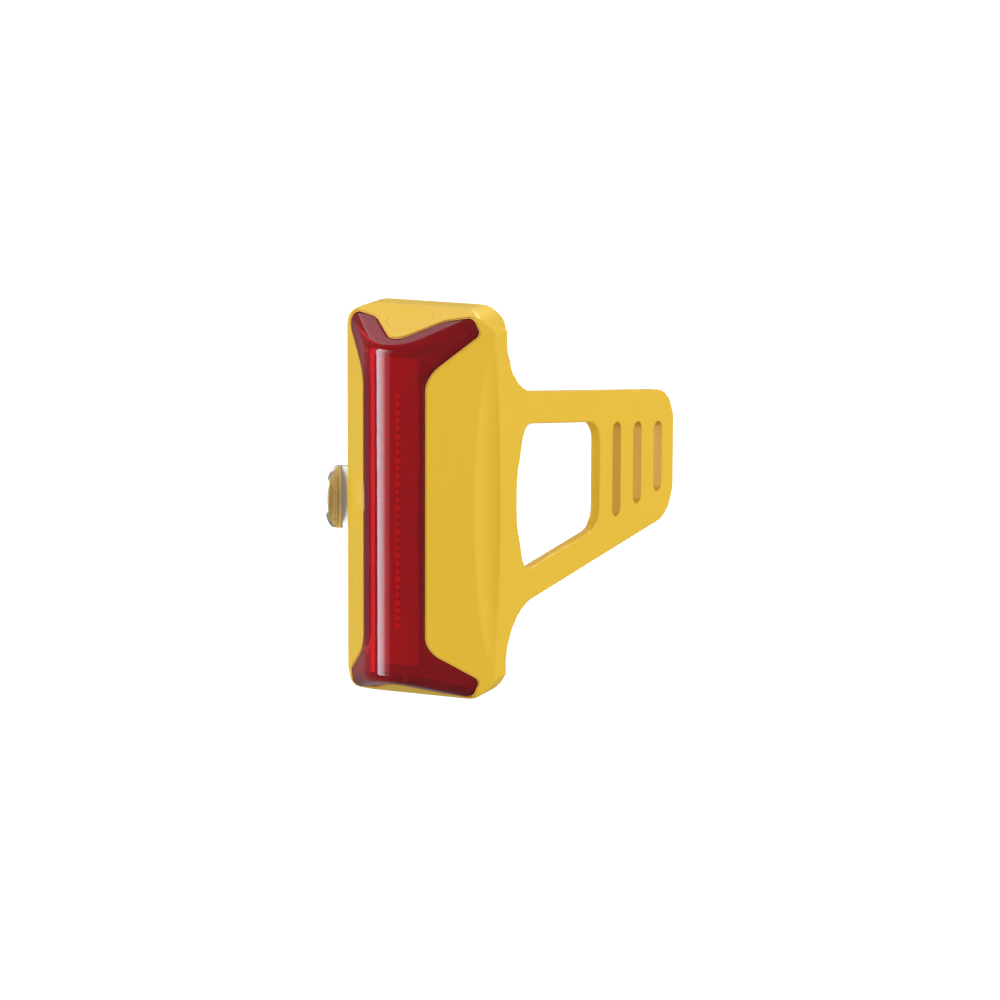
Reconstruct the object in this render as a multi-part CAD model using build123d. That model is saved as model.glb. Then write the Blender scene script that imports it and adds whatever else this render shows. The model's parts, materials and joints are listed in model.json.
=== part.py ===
from build123d import *
import math
import os

# Bike tail light: a rigid light unit in a one-piece silicone sleeve, whose strap
# wraps the seat post and catches on a steel hook.
# Millimetres. Origin on the seat post's axis at the light's mid-height,
# +Z up the post, the lens faces -Y, the strap leaves the +X side.

OVERRUN = 5.0
FIT = 0.1

# Seat post and saddle
POST_RADIUS = 13.6
SADDLE_END_ROOM = 9.8
SADDLE_DEPTH = 6.6
SADDLE_SKIN = 1.5
HORN_TIP_WALL = 1.4
BACK_STEP = 1.0

# Outer form of the light: a hipped roof with a rounded ridge
BODY_LENGTH = 79.6
BODY_WIDTH = 32.6
RIM_HEIGHT = 9.2
FLANK_RISE = 13.6
END_LEAN = 5.0
LENS_WIDTH = 12.9
CORNER_RADIUS = 6.0
SIDE_FLARE_DEG = 7.5
WALL_DEPTH = 4.2
BACK_SLOPE_IN = 2.6
END_WALL_DEPTH = 6.4
END_BACK_IN = 1.4
RIM_FILLET = 1.5
BACK_FILLET = 1.2
HORN_BEVEL = 2.0

# Scoop in the strap-side flank
SCOOP_RADIUS = 8.0
SCOOP_END_ROOM = 8.8
SCOOP_FRONT_SETBACK = 4.75
SCOOP_BACK_SETBACK = 2.1

# Lens
LENS_WALL = 2.2
WAIST_END_ROOM = 12.2
ARM_HEEL_END_ROOM = 4.7
ARM_TIP_END_ROOM = 1.5
ARM_HEEL_SIDE_ROOM = 2.4
ARM_TIP_SIDE_ROOM = 3.4
SHOULDER_END_ROOM = 2.3
SHOULDER_SPREAD = 0.95
VALLEY_END_ROOM = 5.7
WAIST_FILLET = 6.3
TIP_FILLET = 1.6
SHOULDER_FILLET = 8.0
VALLEY_FILLET = 5.0
LENS_GAP = 0.15
LEDGE_WIDTH = 1.9
SEAL_THICKNESS = 0.3

# Sleeve and hard shells under it
SLEEVE_WALL = 1.6
SHELL_WALL = 1.7
TUB_WALL = 2.0
FLOOR_WALL = 1.4
PARTING_BACK = 0.8
BOARD_RIM = 0.7
SEAL_GROOVE_INSET = 0.35
SEAL_WIDTH = 0.6
SEAL_HEIGHT = 0.6

# Strap, measured from the rim edge along its outer face
STRAP_THICKNESS = 2.3
STRAP_LENGTH = 74.7
STRAP_ROOT = 1.5
STRAP_ROOT_END_ROOM = 17.05
STRAP_END_WIDTH = 26.6
FLARE_START = 5.1
FLARE_RISE = 11.25
FLARE_FILLET = 11.5
STRAP_END_FILLET = 7.5
STRAP_MARGIN = 6.7
WINDOW_START = 8.6
WINDOW_BOW = 3.2
WINDOW_END = 42.5
WINDOW_FRONT_FILLET = 3.2
WINDOW_FILLET = 4.5
SLOT_WIDTH = 3.6
FIRST_SLOT = 49.7
SLOT_PITCH = 8.95
SLOT_COUNT = 3
BEND_PITCH = 9.1
FIRST_BEND = 26.9
BEND_COUNT = 5
BEND_GAP = 0.08

# Light engine
LED_BOARD_WIDTH = 8.4
LED_BOARD_END_ROOM = 8.8
LED_BOARD_THICKNESS = 0.8
LED_BOARD_DEPTH = 5.5
LED_COUNT = 30
LED_PITCH = 1.6
LED_SIZE = 0.8
LED_LARGE_SIZE = 1.1
LED_LARGE_EVERY = 3
LED_HEIGHT = 0.35
CARRIER_BASE_DEPTH = 2.7
CARRIER_BASE = 1.2
CARRIER_FIT = 0.15
CARRIER_POCKET_LENGTH = 10.0
CARRIER_POCKET_WIDTH = 4.4
CARRIER_POCKETS = 4
CARRIER_POCKET_PITCH = 13.0
PIN_WIDTH = 0.8
PIN_SPREAD = 2.4
PIN_END_ROOM = 3.0
PIN_FIT = 0.1

# Battery
CELL_WIDTH = 14.0
CELL_THICKNESS = 5.0
CELL_LENGTH = 44.0
CELL_FILLET = 1.2
PAD_THICKNESS = 0.6
PAD_MARGIN = 1.5
CELL_BOARD_LENGTH = 4.0
CELL_BOARD_WIDTH = 11.0
CELL_BOARD_THICKNESS = 1.0
LEAD_RADIUS = 0.5
LEAD_SPREAD = 2.5

# Main board and what it carries
BOARD_THICKNESS = 0.8
CHIP_PLACES = (
    # across, up, width, height, thickness
    (-5.0, 17.5, 4.0, 4.0, 0.9),
    (1.5, 18.0, 3.0, 3.0, 1.5),
    (6.5, 16.0, 3.0, 2.6, 0.8),
    (-5.5, -12.0, 5.0, 4.0, 1.2),
    (0.5, -12.5, 3.2, 3.2, 1.6),
    (6.0, -13.0, 2.6, 3.4, 0.9),
    (-6.0, -18.5, 2.0, 1.2, 0.6),
    (6.0, -18.5, 2.0, 1.2, 0.6),
)
SOCKET_WIDTH = 8.94
SOCKET_HEIGHT = 3.16
SOCKET_DEPTH = 7.3
SOCKET_WALL = 0.3
SOCKET_RADIUS = 1.3
SOCKET_RECESS = 0.3
TONGUE_PLATE_WIDTH = 6.7
TONGUE_PLATE_HEIGHT = 0.7
TONGUE_PLATE_LENGTH = 5.2
SOCKET_BACK_PLATE = 0.8

# Power button
BUTTON_RADIUS = 4.7
BUTTON_CENTRE_BACK = 8.3
BUTTON_GAP = 0.25
BUTTON_THICKNESS = 0.7
BUTTON_DISH = 0.35
BUTTON_RIM = 0.7
BUTTON_DISH_SLOPE = 0.9
KEY_RADIUS = 2.4
KEY_HEIGHT = 3.4
KEY_ARM_WIDTH = 3.0
KEY_ARM_HEIGHT = 1.0
KEY_ARM_TIP_GAP = 0.5
KEY_CLEARANCE = 0.4
SWITCH_WIDTH = 4.6
SWITCH_HEIGHT = 3.2
SWITCH_DEPTH = 3.4
STEM_RADIUS = 0.8
STEM_LENGTH = 1.5
STEM_STANDOUT = 0.9
STEM_HOLE_DEPTH = 1.4
STEM_CLEARANCE = 0.2

# Hook
HOOK_THICKNESS = 0.8
HOOK_HEIGHT = 12.9
HOOK_DROP = 1.0
HOOK_PLATE_BACK = 2.6
HOOK_THROAT = 2.7
HOOK_TONGUE = 5.1
HOOK_INNER_BEND = 0.8
HOOK_TIP_RADIUS = 5.6
HOOK_REACH_INSIDE = 7.0
HOOK_SCREW_PLACES = (-6.0, 3.0)
HOOK_SLOT_GAP = 0.15
HOOK_BOSS_RADIUS = 2.2

# Screws
SCREW_RADIUS = 0.8
SCREW_HEAD_RADIUS = 1.5
SCREW_HEAD_HEIGHT = 0.8
SCREW_GRIP = 3.4
SCREW_HOLE_FIT = 0.05
SCREW_HEAD_FIT = 0.15
BOSS_RADIUS = 2.2
SCREW_SIDE_ROOM = 6.3
SCREW_END_ROOM = 7.3
ROUND_SIDES = 12
HOOK_SCREW_RADIUS = 0.9
HOOK_SCREW_HEAD = 1.6
HOOK_SCREW_HEAD_HEIGHT = 0.6
HOOK_SCREW_LENGTH = 2.2

# Port flap
FLAP_WIDTH = 13.4
FLAP_HEIGHT = 5.0
FLAP_THICKNESS = 1.4
FLAP_GAP = 0.3
FLAP_FILLET = 0.6
FLAP_PLUG_WIDTH = 6.4
FLAP_PLUG_HEIGHT = 1.3
FLAP_PLUG_LENGTH = 0.8
FLAP_HINGE_WIDTH = 7.0
FLAP_HINGE_GAP = 0.1

# Stations along Y, worked out from the post forwards
FLOOR_Y = -POST_RADIUS
HOUSING_BACK_Y = FLOOR_Y - SADDLE_SKIN
BODY_BACK_Y = FLOOR_Y - BACK_STEP
RIM_Y = FLOOR_Y - RIM_HEIGHT
WALL_BACK_Y = RIM_Y + WALL_DEPTH
END_BACK_Y = RIM_Y + END_WALL_DEPTH
EDGE_Y = RIM_Y - FLANK_RISE
PARTING_Y = RIM_Y + PARTING_BACK
BOARD_BACK_Y = PARTING_Y + BOARD_THICKNESS
RIM_HALF = BODY_WIDTH / 2
LENS_HALF = LENS_WIDTH / 2
BODY_HALF = BODY_LENGTH / 2
SADDLE_HALF = BODY_HALF - SADDLE_END_ROOM
STRAP_ROOT_HALF = BODY_HALF - STRAP_ROOT_END_ROOM
FLARE_HALF = STRAP_ROOT_HALF + FLARE_RISE
LED_BOARD_HALF = BODY_HALF - LED_BOARD_END_ROOM
WAIST_Z = BODY_HALF - WAIST_END_ROOM
ARM_HEEL_Z = BODY_HALF - ARM_HEEL_END_ROOM
ARM_TIP_Z = BODY_HALF - ARM_TIP_END_ROOM
SHOULDER_Z = BODY_HALF - SHOULDER_END_ROOM
VALLEY_Z = BODY_HALF - VALLEY_END_ROOM
FLARE = math.radians(SIDE_FLARE_DEG)
FLANK_ANGLE = math.atan2(FLANK_RISE, RIM_HALF - LENS_HALF)
PEAK_Y = RIM_Y - RIM_HALF * math.tan(FLANK_ANGLE)
CROWN_RADIUS = LENS_HALF / math.sin(FLANK_ANGLE)
CROWN_Y = EDGE_Y - CROWN_RADIUS * (1 - math.cos(FLANK_ANGLE))
END_ANGLE = math.atan2(END_LEAN, FLANK_RISE)
SKIN_INSET = SLEEVE_WALL + FIT
LED_FACE_Y = CROWN_Y + LED_BOARD_DEPTH
LED_BACK_Y = LED_FACE_Y + LED_BOARD_THICKNESS
CARRIER_BACK_Y = LED_BACK_Y + CARRIER_BASE_DEPTH + CARRIER_BASE
CELL_FRONT_Y = CARRIER_BACK_Y + PAD_THICKNESS
CELL_BACK_Y = CELL_FRONT_Y + CELL_THICKNESS
HOOK_Y = RIM_Y + HOOK_PLATE_BACK
SOCKET_Y = BOARD_BACK_Y + SOCKET_HEIGHT / 2
SOCKET_MOUTH_Z = -(BODY_HALF - SKIN_INSET - SOCKET_RECESS)
FLAP_AXIS_Y = SOCKET_Y + FLAP_HEIGHT / 2
FLAP_AXIS_Z = -(BODY_HALF - FLAP_THICKNESS / 2)


def wall_x(y):
    """Half-width of the flared side wall at a station behind the rim edge."""
    return RIM_HALF + (y - RIM_Y) * math.tan(FLARE)


def box_between(low, high):
    """Box from its lowest to its highest corner."""
    size = [b - a for a, b in zip(low, high)]
    middle = [(a + b) / 2 for a, b in zip(low, high)]
    return Pos(*middle) * Box(*size)


def layer(front_y, back_y):
    """Slab across the whole light between two stations."""
    reach = BODY_LENGTH
    return box_between((-reach, front_y, -reach), (reach, back_y, reach))


def along_y(x, z, front_y, back_y, radius):
    """Screw, boss or hole that runs front to back, many-sided to keep its faces few."""
    length = back_y - front_y
    place = Plane(origin=(x, front_y, z), z_dir=(0, 1, 0))
    return place * extrude(RegularPolygon(radius, ROUND_SIDES), amount=length)


def corners_at(face, height):
    """Corners of a flat outline that lie at a given Y, either way up."""
    return [v for v in face.vertices() if abs(abs(v.Y) - abs(height)) < FIT]


def scoop(inset):
    """Ring-shaped cutter whose tube leaves a cove along the strap-side rim."""
    front = Vector(
        RIM_HALF - SCOOP_FRONT_SETBACK * math.cos(FLANK_ANGLE),
        RIM_Y - SCOOP_FRONT_SETBACK * math.sin(FLANK_ANGLE),
    )
    back = Vector(wall_x(RIM_Y + SCOOP_BACK_SETBACK), RIM_Y + SCOOP_BACK_SETBACK)
    chord = back - front
    outward = Vector(chord.Y, -chord.X).normalized()
    stand_off = math.sqrt(SCOOP_RADIUS**2 - (chord.length / 2) ** 2)
    tube = (front + back) * 0.5 + outward * stand_off
    depth = SCOOP_RADIUS - (Vector(RIM_HALF, RIM_Y) - tube).length
    half_span = BODY_HALF - SCOOP_END_ROOM
    ring_radius = (half_span**2 + depth**2) / (2 * depth)
    centre = tube + outward * ring_radius
    place = Plane(origin=centre, x_dir=outward, z_dir=outward.cross(Vector(0, 0, 1)))
    return place * Torus(ring_radius, SCOOP_RADIUS + inset)


def roof_form(inset, back_y):
    """The light's outer form, moved inwards by an even inset."""
    rear = back_y + inset
    reach = BODY_LENGTH
    wall_half = wall_x(WALL_BACK_Y)
    slope_in = BACK_SLOPE_IN * (rear - WALL_BACK_Y) / (BODY_BACK_Y - WALL_BACK_Y)
    right = [(wall_half - slope_in, rear), (wall_half, WALL_BACK_Y), (RIM_HALF, RIM_Y)]
    left = [(-x, y) for x, y in reversed(right)]
    plan = make_face(Polyline(*right, (0, PEAK_Y), *left, close=True))
    plan = fillet(plan.vertices().sort_by(Axis.Y)[0], CROWN_RADIUS)
    lean = (RIM_Y - PEAK_Y) * math.tan(END_ANGLE)
    end_in = END_BACK_IN * (rear - END_BACK_Y) / (BODY_BACK_Y - END_BACK_Y)
    upper = [
        (rear, BODY_HALF - end_in),
        (END_BACK_Y, BODY_HALF),
        (RIM_Y, BODY_HALF),
        (PEAK_Y, BODY_HALF - lean),
    ]
    lower = [(y, -z) for y, z in reversed(upper)]
    side = make_face(Polyline(*upper, *lower, close=True))
    front = RectangleRounded(2 * wall_half, BODY_LENGTH, CORNER_RADIUS)
    if inset == 0:
        plan = fillet(corners_at(plan, RIM_Y), RIM_FILLET)
        plan = fillet(corners_at(plan, WALL_BACK_Y), BACK_FILLET)
    if inset > 0:
        plan = offset(plan, -inset, kind=Kind.INTERSECTION)
        side = offset(side, -inset, kind=Kind.INTERSECTION)
        front = offset(front, -inset, kind=Kind.INTERSECTION)
    form = extrude(plan, amount=reach, both=True)
    form &= extrude(Plane.YZ * side, amount=reach, both=True)
    form &= extrude(Plane.XZ * front, amount=reach, both=True)
    return form - scoop(inset)


def lens_outline(shrink):
    """Dog-bone outline of the lens seen from the front, as a prism front to back."""
    quarter = [
        (LENS_HALF, WAIST_Z),
        (RIM_HALF - ARM_HEEL_SIDE_ROOM, ARM_HEEL_Z),
        (RIM_HALF - ARM_TIP_SIDE_ROOM, ARM_TIP_Z),
        (LENS_HALF + SHOULDER_SPREAD, SHOULDER_Z),
    ]
    valley = [(0, VALLEY_Z)]
    upper = quarter + valley + [(-x, z) for x, z in reversed(quarter)]
    lower = [(-x, -z) for x, z in upper]
    face = make_face(Polyline(*upper, *lower, close=True))
    fillets = (
        (WAIST_Z, WAIST_FILLET),
        (ARM_HEEL_Z, TIP_FILLET),
        (ARM_TIP_Z, TIP_FILLET),
        (SHOULDER_Z, SHOULDER_FILLET),
        (VALLEY_Z, VALLEY_FILLET),
    )
    for height, radius in fillets:
        face = fillet(corners_at(face, height), radius)
    if shrink:
        face = offset(face, -shrink, kind=Kind.ARC if shrink < 0 else Kind.INTERSECTION)
    return extrude(Plane.XZ * face, amount=BODY_LENGTH, both=True)


strap_plane = Plane(
    origin=(RIM_HALF, RIM_Y, 0),
    x_dir=(math.sin(FLARE), math.cos(FLARE), 0),
    z_dir=(math.cos(FLARE), -math.sin(FLARE), 0),
)


def strap_half_width(run):
    """Half-height of the tapering strap at a distance from the rim edge."""
    share = (run - FLARE_START) / (STRAP_LENGTH - FLARE_START)
    return STRAP_ROOT_HALF + share * (STRAP_END_WIDTH / 2 - STRAP_ROOT_HALF)


def strap_outline():
    """Side view of the whole strap with its flared root and rounded end."""
    corners = [
        (STRAP_ROOT, FLARE_HALF),
        (FLARE_START, FLARE_HALF),
        (FLARE_START, strap_half_width(FLARE_START)),
        (STRAP_LENGTH, STRAP_END_WIDTH / 2),
    ]
    mirrored = [(x, -y) for x, y in reversed(corners)]
    face = make_face(Polyline(*corners, *mirrored, close=True))
    flare_y = strap_half_width(FLARE_START)
    face = fillet(corners_at(face, flare_y), FLARE_FILLET)
    ends = face.vertices().group_by(Axis.X)[-1]
    return fillet(ends, STRAP_END_FILLET)


def strap_window():
    """Large rounded window with a front edge that bows towards the body."""
    start = WINDOW_START + WINDOW_BOW
    low = strap_half_width(start) - STRAP_MARGIN
    high = strap_half_width(WINDOW_END) - STRAP_MARGIN
    bow = ThreePointArc((start, -low), (WINDOW_START, 0), (start, low))
    sides = Polyline((start, low), (WINDOW_END, high), (WINDOW_END, -high), (start, -low))
    face = make_face(bow.edges() + sides.edges())
    back = face.vertices().group_by(Axis.X)[-1]
    face = fillet(back, WINDOW_FILLET)
    front = face.vertices().group_by(Axis.X)[0]
    return fillet(front, WINDOW_FRONT_FILLET)


def strap_slot(index):
    """One of the hooking slots, shorter towards the strap's end."""
    run = FIRST_SLOT + index * SLOT_PITCH
    length = 2 * (strap_half_width(run) - STRAP_MARGIN)
    return Pos(run, 0) * Rot(0, 0, 90) * SlotOverall(length, SLOT_WIDTH)


def strap_sheet():
    """The whole strap as one sheet with its window and slots."""
    face = strap_outline() - strap_window()
    for index in range(SLOT_COUNT):
        face -= strap_slot(index)
    return strap_plane * extrude(face, amount=-STRAP_THICKNESS)


def bend_run(index):
    """Distance of a bend line from the rim edge."""
    return FIRST_BEND + index * BEND_PITCH


def strap_slice(start, end):
    """Prism that holds the strap between two bend lines, round at its start."""
    radius = STRAP_THICKNESS / 2
    socket = radius + BEND_GAP
    if start is None:
        first = -OVERRUN
        outline = [Line((first, -STRAP_THICKNESS), (first, 0))]
    else:
        first = start
        outline = [
            ThreePointArc((first, -STRAP_THICKNESS), (first - radius, -radius), (first, 0))
        ]
    if end is None:
        last = STRAP_LENGTH + OVERRUN
        outline += [Line((last, 0), (last, -STRAP_THICKNESS))]
    else:
        last = end - math.sqrt(socket**2 - radius**2)
        outline += [
            ThreePointArc((last, 0), (end - socket, -radius), (last, -STRAP_THICKNESS))
        ]
    outline += [
        Line((first, 0), (last, 0)),
        Line((last, -STRAP_THICKNESS), (first, -STRAP_THICKNESS)),
    ]
    face = make_face([line.edge() for line in outline])
    plan = Plane(origin=strap_plane.origin, x_dir=strap_plane.x_dir, z_dir=(0, 0, 1))
    return plan * extrude(mirror(face, Plane.XZ), amount=BODY_LENGTH, both=True)


def strap_part(sheet, index):
    """The strap from one bend line to the next, or to its end."""
    end = bend_run(index + 1) if index + 1 < BEND_COUNT else None
    return sheet & strap_slice(bend_run(index), end)


def saddle_block():
    """Horns that cradle the post, with sloped ends."""
    tip_y = FLOOR_Y + SADDLE_DEPTH
    tip_x = math.sqrt(POST_RADIUS**2 - tip_y**2) + HORN_TIP_WALL
    root_x = wall_x(WALL_BACK_Y) - BACK_SLOPE_IN
    plan = make_face(
        Polyline(
            (-root_x, RIM_Y + PARTING_BACK),
            (-root_x, BODY_BACK_Y),
            (-tip_x, tip_y),
            (tip_x, tip_y),
            (root_x, BODY_BACK_Y),
            (root_x, RIM_Y + PARTING_BACK),
            close=True,
        )
    )
    block = extrude(plan, amount=SADDLE_HALF, both=True)
    ends = block.edges().filter_by(Axis.X).group_by(Axis.Y)[-1]
    return chamfer(ends, HORN_BEVEL)


def post_space():
    return Cylinder(POST_RADIUS, 2 * BODY_LENGTH)


def button_plane():
    """Plane of the button's face on the upper end slope, pointing outwards."""
    centre_y = EDGE_Y + BUTTON_CENTRE_BACK
    centre_z = BODY_HALF - (RIM_Y - centre_y) * math.tan(END_ANGLE)
    normal = (0, -math.sin(END_ANGLE), math.cos(END_ANGLE))
    return Plane(origin=(0, centre_y, centre_z), x_dir=(1, 0, 0), z_dir=normal)


def drill(plane, radius, depth):
    """Round cutter that runs inwards from a plane, and a little outwards."""
    return plane * extrude(Pos(0, 0, OVERRUN) * Circle(radius), amount=-(depth + OVERRUN))


def flap_recess(grow):
    """Rounded block where the port flap lies in the sleeve's lower end."""
    front_y = SOCKET_Y - FLAP_HEIGHT / 2 - grow
    middle_y = (front_y + FLAP_AXIS_Y + grow) / 2
    height = FLAP_AXIS_Y + grow - front_y
    face = RectangleRounded(FLAP_WIDTH + 2 * grow, height, FLAP_FILLET)
    return Pos(0, middle_y, -BODY_HALF) * extrude(face, amount=SLEEVE_WALL, both=True)


def hook_profile(grow):
    """Hook in plan: base plate, bend, and a tongue that points forwards."""
    inner_x = -(wall_x(HOOK_Y) + HOOK_THROAT)
    outer_x = inner_x - HOOK_THICKNESS
    back_y = HOOK_Y + HOOK_THICKNESS
    if grow:
        return box_between(
            (outer_x, HOOK_Y - grow, -HOOK_HEIGHT / 2 - grow - HOOK_DROP),
            (HOOK_REACH_INSIDE + grow, back_y + grow, HOOK_HEIGHT / 2 + grow - HOOK_DROP),
        )
    face = make_face(
        Polyline(
            (HOOK_REACH_INSIDE, HOOK_Y),
            (inner_x, HOOK_Y),
            (inner_x, HOOK_Y - HOOK_TONGUE),
            (outer_x, HOOK_Y - HOOK_TONGUE),
            (outer_x, back_y),
            (HOOK_REACH_INSIDE, back_y),
            close=True,
        )
    )
    face = fillet(face.vertices().sort_by_distance((inner_x, HOOK_Y))[0], HOOK_INNER_BEND)
    outer_bend = HOOK_INNER_BEND + HOOK_THICKNESS
    face = fillet(face.vertices().sort_by_distance((outer_x, back_y))[0], outer_bend)
    return Pos(0, 0, -HOOK_DROP) * extrude(face, amount=HOOK_HEIGHT / 2, both=True)


def hook_plate():
    plate = hook_profile(0)
    tips = plate.edges().filter_by(Axis.X).group_by(Axis.Y)[0]
    plate = fillet(tips, HOOK_TIP_RADIUS)
    for x in HOOK_SCREW_PLACES:
        hole = HOOK_SCREW_RADIUS + SCREW_HOLE_FIT
        plate -= along_y(x, -HOOK_DROP, HOOK_Y - OVERRUN, HOOK_Y + OVERRUN, hole)
    return plate


def silicone_sleeve(sheet):
    """Outer skin: roof-shaped body, saddle, strap root, lens and port openings."""
    body = roof_form(0, BODY_BACK_Y)
    body += sheet & strap_slice(None, bend_run(0))
    body -= scoop(0)
    body += saddle_block()
    body -= post_space()
    body -= roof_form(SLEEVE_WALL, HOUSING_BACK_Y) & layer(EDGE_Y - BODY_WIDTH, HOUSING_BACK_Y)
    body -= lens_outline(-LENS_GAP) & layer(EDGE_Y - BODY_WIDTH, RIM_Y)
    body -= drill(button_plane(), BUTTON_RADIUS + BUTTON_GAP, SLEEVE_WALL + OVERRUN)
    body -= flap_recess(FLAP_GAP)
    return body - hook_profile(HOOK_SLOT_GAP)


def lens():
    """Red lens moulding that follows the ridge and the four hips."""
    wall = roof_form(0, BODY_BACK_Y) - roof_form(LENS_WALL, BODY_BACK_Y)
    return wall & lens_outline(0) & layer(PEAK_Y, RIM_Y)


def lens_seal():
    ring = lens_outline(0) - lens_outline(LEDGE_WIDTH)
    band = roof_form(LENS_WALL, BODY_BACK_Y) - roof_form(LENS_WALL + SEAL_THICKNESS, BODY_BACK_Y)
    return ring & band & layer(PEAK_Y, RIM_Y)


def screw_places():
    across = RIM_HALF - SCREW_SIDE_ROOM
    up = BODY_HALF - SCREW_END_ROOM
    return [(x, z) for x in (-across, across) for z in (-up, up)]


def front_shell():
    """Hard front shell with the stepped seat for the lens and four screw bosses."""
    ahead = layer(PEAK_Y, PARTING_Y)
    inner = SKIN_INSET + SHELL_WALL
    outer_form = roof_form(SKIN_INSET, HOUSING_BACK_Y)
    shell = (outer_form - roof_form(inner, HOUSING_BACK_Y)) & ahead
    under = roof_form(inner - FIT, HOUSING_BACK_Y)
    for x, z in screw_places():
        shell += along_y(x, z, EDGE_Y, PARTING_Y, BOSS_RADIUS) & under
    seat = lens_outline(-FIT / 2) - roof_form(LENS_WALL + SEAL_THICKNESS, BODY_BACK_Y)
    shell -= seat & layer(PEAK_Y, RIM_Y)
    shell -= lens_outline(LEDGE_WIDTH) & layer(PEAK_Y, RIM_Y - CARRIER_BASE)
    for x, z in screw_places():
        hole = SCREW_RADIUS + SCREW_HOLE_FIT
        shell -= along_y(x, z, PARTING_Y - SCREW_GRIP, PARTING_Y + OVERRUN, hole)
    key_hole = KEY_RADIUS + KEY_CLEARANCE
    return shell - drill(button_plane(), key_hole, SKIN_INSET + SHELL_WALL + OVERRUN)


def rear_housing():
    """Hard rear tub with the board recess, seal groove, bosses and port opening."""
    behind = layer(PARTING_Y, HOUSING_BACK_Y)
    floor_y = HOUSING_BACK_Y - FLOOR_WALL
    tub = roof_form(SKIN_INSET, HOUSING_BACK_Y) & behind
    cavity = roof_form(SKIN_INSET + TUB_WALL, HOUSING_BACK_Y) & layer(PARTING_Y, floor_y)
    tub -= cavity
    tub -= roof_form(SKIN_INSET + TUB_WALL - BOARD_RIM, HOUSING_BACK_Y) & layer(
        PARTING_Y - FIT, BOARD_BACK_Y
    )
    for x, z in screw_places():
        tub += along_y(x, z, BOARD_BACK_Y, floor_y + FIT, BOSS_RADIUS)
    for x in HOOK_SCREW_PLACES:
        tub += along_y(x, -HOOK_DROP, HOOK_Y + HOOK_THICKNESS, floor_y + FIT, HOOK_BOSS_RADIUS)
    tub -= housing_seal()
    for x, z in screw_places():
        hole = SCREW_RADIUS + SCREW_HOLE_FIT
        tub -= along_y(x, z, PARTING_Y - OVERRUN, HOUSING_BACK_Y + OVERRUN, hole)
        head = SCREW_HEAD_RADIUS + SCREW_HEAD_FIT
        tub -= along_y(x, z, HOUSING_BACK_Y - SCREW_HEAD_HEIGHT, HOUSING_BACK_Y + OVERRUN, head)
    for x in HOOK_SCREW_PLACES:
        hole = HOOK_SCREW_RADIUS + SCREW_HOLE_FIT
        tip_y = HOOK_Y + HOOK_THICKNESS + HOOK_SCREW_LENGTH
        tub -= along_y(x, -HOOK_DROP, HOOK_Y, tip_y + FIT, hole)
    tub -= hook_profile(HOOK_SLOT_GAP) & box_between(
        (-BODY_WIDTH, HOOK_Y - OVERRUN, -BODY_HALF), (0, HOUSING_BACK_Y, BODY_HALF)
    )
    return tub - socket_block(FIT)


def housing_seal():
    """Square-section gasket in the tub's rim."""
    outside = SKIN_INSET + SEAL_GROOVE_INSET
    inside = outside + SEAL_WIDTH
    ring = roof_form(outside, HOUSING_BACK_Y) - roof_form(inside, HOUSING_BACK_Y)
    return ring & layer(PARTING_Y, PARTING_Y + SEAL_HEIGHT)


def housing_screws():
    """Four self-tapping screws that join the tub to the front shell."""
    screws = []
    seat_y = HOUSING_BACK_Y - SCREW_HEAD_HEIGHT
    for x, z in screw_places():
        shank = along_y(x, z, PARTING_Y - SCREW_GRIP + FIT, seat_y + FIT, SCREW_RADIUS)
        head = along_y(x, z, seat_y, HOUSING_BACK_Y, SCREW_HEAD_RADIUS)
        screws.append(shank + head)
    return Compound(children=[s.solid() for s in screws])


def hook_screws():
    """Two flat-headed screws that hold the hook's base to the tub."""
    screws = []
    for x in HOOK_SCREW_PLACES:
        tip_y = HOOK_Y + HOOK_THICKNESS + HOOK_SCREW_LENGTH
        shank = along_y(x, -HOOK_DROP, HOOK_Y, tip_y, HOOK_SCREW_RADIUS)
        head = along_y(x, -HOOK_DROP, HOOK_Y - HOOK_SCREW_HEAD_HEIGHT, HOOK_Y, HOOK_SCREW_HEAD)
        screws.append(shank + head)
    return Compound(children=[s.solid() for s in screws])


def led_board():
    half_width = LED_BOARD_WIDTH / 2
    return box_between(
        (-half_width, LED_FACE_Y, -LED_BOARD_HALF), (half_width, LED_BACK_Y, LED_BOARD_HALF)
    )


def led_dies():
    """Row of dies on the board's front; every third package is larger."""
    dies = []
    for index in range(LED_COUNT):
        z = (index - (LED_COUNT - 1) / 2) * LED_PITCH
        size = LED_LARGE_SIZE if index % LED_LARGE_EVERY == 0 else LED_SIZE
        low = (-size / 2, LED_FACE_Y - LED_HEIGHT, z - size / 2)
        dies.append(box_between(low, (size / 2, LED_FACE_Y, z + size / 2)))
    return Compound(children=[d.solid() for d in dies])


def led_carrier():
    """Plastic rail behind the LED board, with a base that fits the shell's inside."""
    half = LED_BOARD_HALF
    base_y = CARRIER_BACK_Y - CARRIER_BASE
    rail = box_between(
        (-LED_BOARD_WIDTH / 2, LED_BACK_Y, -half), (LED_BOARD_WIDTH / 2, base_y + FIT, half)
    )
    inside = roof_form(SKIN_INSET + SHELL_WALL + CARRIER_FIT, HOUSING_BACK_Y)
    base = inside & box_between(
        (-BODY_WIDTH, base_y, -half), (BODY_WIDTH, CARRIER_BACK_Y, half)
    )
    carrier = rail + base
    for index in range(CARRIER_POCKETS):
        z = (index - (CARRIER_POCKETS - 1) / 2) * CARRIER_POCKET_PITCH
        carrier -= box_between(
            (-CARRIER_POCKET_WIDTH / 2, LED_BACK_Y - FIT, z - CARRIER_POCKET_LENGTH / 2),
            (CARRIER_POCKET_WIDTH / 2, base_y, z + CARRIER_POCKET_LENGTH / 2),
        )
    return carrier - Compound(children=pin_boxes(PIN_FIT))


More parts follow.
